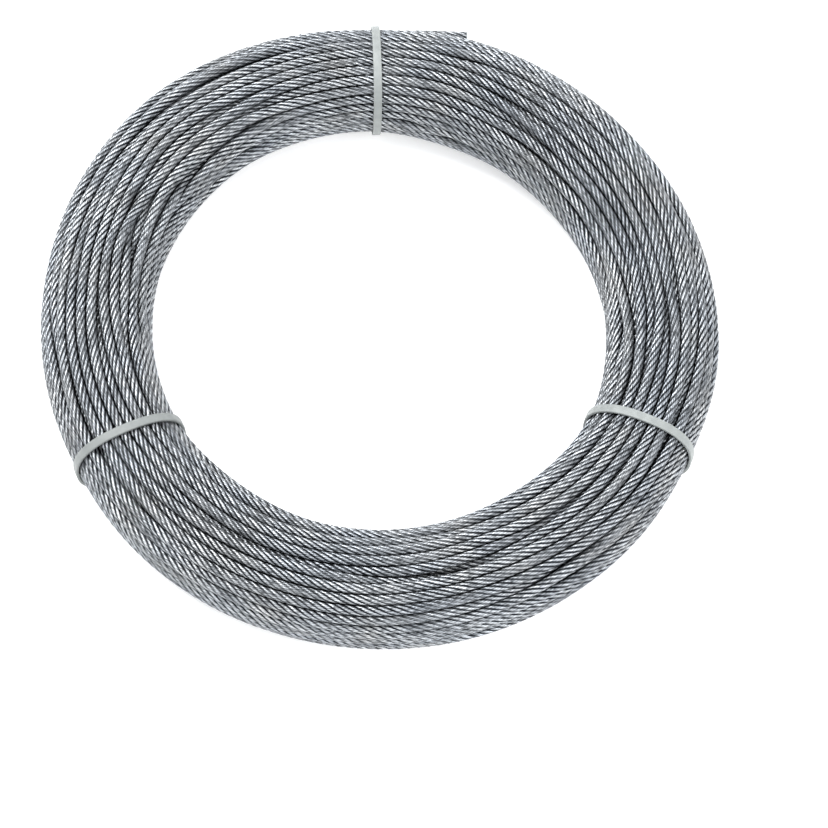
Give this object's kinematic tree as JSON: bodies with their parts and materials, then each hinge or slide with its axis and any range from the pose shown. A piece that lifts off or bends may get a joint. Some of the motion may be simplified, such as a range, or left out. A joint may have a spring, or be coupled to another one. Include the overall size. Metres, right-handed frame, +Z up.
{
  "type": "coil of wire rope",
  "caption": "Flat round coil of thin steel wire rope in a clear plastic coat, bound round its section by nylon cable ties, with one cut end standing loose.",
  "frame": {"origin": "on the floor plane, on the axis of the coil's bore; the ties' flat undersides lie at z = 0", "axes": "+Z up along the bore's axis; -Y towards the viewer; the far tie and the loose end are at +Y, and the loose end points to +X"},
  "size_m": [0.1958, 0.1972, 0.0341],
  "materials": {
    "coated_wire_rope": "stranded galvanised steel wires under a clear, glossy plastic coat",
    "natural_nylon": "natural, slightly translucent nylon, satin"
  },
  "bodies": {
    "root": {"rope_coil": "coated_wire_rope", "cable_tie_far": "natural_nylon", "cable_tie_left": "natural_nylon", "cable_tie_right": "natural_nylon"}
  },
  "joints": []
}
